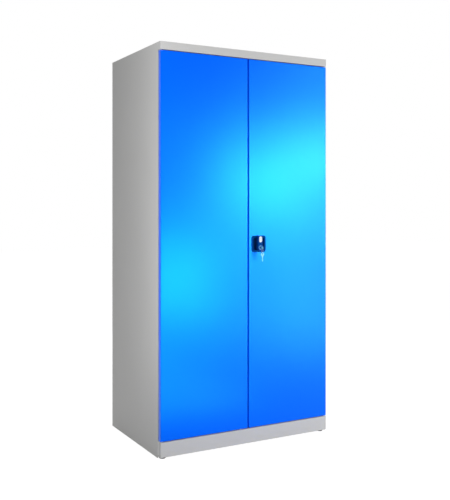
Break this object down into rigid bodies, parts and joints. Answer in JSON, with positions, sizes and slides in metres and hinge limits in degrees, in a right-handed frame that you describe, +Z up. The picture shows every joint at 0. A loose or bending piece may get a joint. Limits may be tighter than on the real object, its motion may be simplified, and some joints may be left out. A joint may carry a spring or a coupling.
{
  "type": "tool cabinet with doors",
  "caption": "Tall steel tool cabinet with hinged full-height doors, shelves inside and a lever that drives locking rods",
  "frame": {"origin": "on the floor, in the middle of the part's outline box", "axes": "+Z up, the doors face -Y, +X to the right as seen from the front"},
  "size_m": [0.9, 0.6438, 1.85],
  "materials": {
    "body_paint": "light grey powder coat",
    "door_paint": "bright blue semi-gloss powder coat",
    "zinc_steel": "zinc plated",
    "bright_chrome": "polished",
    "navy_plastic": "fine grained",
    "white_nylon": "natural",
    "black_rubber": "matte"
  },
  "bodies": {
    "cabinet": {"left_side_panel": "body_paint", "right_side_panel": "body_paint", "roof_panel": "body_paint", "header_rail": "body_paint", "plinth": "body_paint", "rear_base_rail": "body_paint", "floor_panel": "body_paint", "back_panel": "body_paint", "foot_glides": "black_rubber", "hinge_pins": "zinc_steel", "door_buffers": "black_rubber", "front_left_upright": "body_paint", "front_right_upright": "body_paint", "rear_left_upright": "body_paint", "rear_right_upright": "body_paint", "shelf_1": "body_paint", "shelf_2": "body_paint", "shelf_3": "body_paint", "shelf_4": "body_paint", "shelf_stiffeners": "body_paint", "shelf_clips": "zinc_steel"},
    "left_door": {"left_door_panel": "door_paint", "left_door_stiffener": "door_paint", "left_hinge_bushes": "white_nylon", "bolt_brackets": "zinc_steel"},
    "left_top_bolt": {"left_top_bolt": "zinc_steel"},
    "left_bottom_bolt": {"left_bottom_bolt": "zinc_steel"},
    "right_door": {"right_door_panel": "door_paint", "right_door_stiffener": "door_paint", "right_hinge_bushes": "white_nylon", "handle_dish": "navy_plastic", "dish_clamp": "zinc_steel", "dish_screws": "zinc_steel", "spindle_bush": "white_nylon", "rod_guides": "white_nylon"},
    "top_rod": {"top_rod": "zinc_steel"},
    "bottom_rod": {"bottom_rod": "zinc_steel"},
    "lever": {"lever_handle": "navy_plastic", "thumb_cap": "bright_chrome", "lock_cylinder": "bright_chrome", "spindle": "zinc_steel", "cam_plate": "zinc_steel", "cam_pins": "zinc_steel", "cam_screw": "zinc_steel"},
    "lock_core": {"lock_core": "bright_chrome"},
    "key": {"key": "bright_chrome"},
    "key_ring": {"key_ring": "zinc_steel"},
    "spare_key": {"spare_key": "bright_chrome"}
  },
  "joints": [
    {"name": "left_door_hinge", "type": "hinge", "parent": "cabinet", "child": "left_door", "pos_m": [-0.442, -0.26708, 0.9], "axis": [0, 0, -1], "range_deg": [0, 180]},
    {"name": "right_door_hinge", "type": "hinge", "parent": "cabinet", "child": "right_door", "pos_m": [0.442, -0.26708, 0.9], "axis": [0, 0, 1], "range_deg": [0, 180]},
    {"name": "lever_turn", "type": "hinge", "parent": "right_door", "child": "lever", "pos_m": [0.0565, -0.27808, 0.925], "axis": [0, 1, 0], "range_deg": [0, 90]},
    {"name": "top_rod_slide", "type": "slide", "parent": "right_door", "child": "top_rod", "axis": [0, 0, 1], "range_m": [0, 0.02547]},
    {"name": "bottom_rod_slide", "type": "slide", "parent": "right_door", "child": "bottom_rod", "axis": [0, 0, -1], "range_m": [0, 0.02547]},
    {"name": "lock_core_turn", "type": "hinge", "parent": "lever", "child": "lock_core", "pos_m": [0.0565, -0.27808, 0.925], "axis": [0, 1, 0], "range_deg": [0, 90]},
    {"name": "key_pull", "type": "slide", "parent": "lock_core", "child": "key", "axis": [0, -1, 0], "range_m": [0, 0.024]},
    {"name": "key_ring_swing", "type": "hinge", "parent": "key", "child": "key_ring", "pos_m": [0.0565, -0.31283, 0.92325], "axis": [1, 0, 0], "range_deg": [-20, 20]},
    {"name": "spare_key_swing", "type": "hinge", "parent": "key_ring", "child": "spare_key", "pos_m": [0.0565, -0.31283, 0.89925], "axis": [0, 1, 0], "range_deg": [-25, 25]},
    {"name": "left_top_bolt_slide", "type": "slide", "parent": "left_door", "child": "left_top_bolt", "axis": [0, 0, 1], "range_m": [0, 0.02]},
    {"name": "left_bottom_bolt_slide", "type": "slide", "parent": "left_door", "child": "left_bottom_bolt", "axis": [0, 0, -1], "range_m": [0, 0.02]}
  ],
  "couplings": [
    {"joint": "top_rod_slide", "follows": "lever_turn", "m_per_rad": 0.016206},
    {"joint": "bottom_rod_slide", "follows": "lever_turn", "m_per_rad": 0.016206}
  ]
}
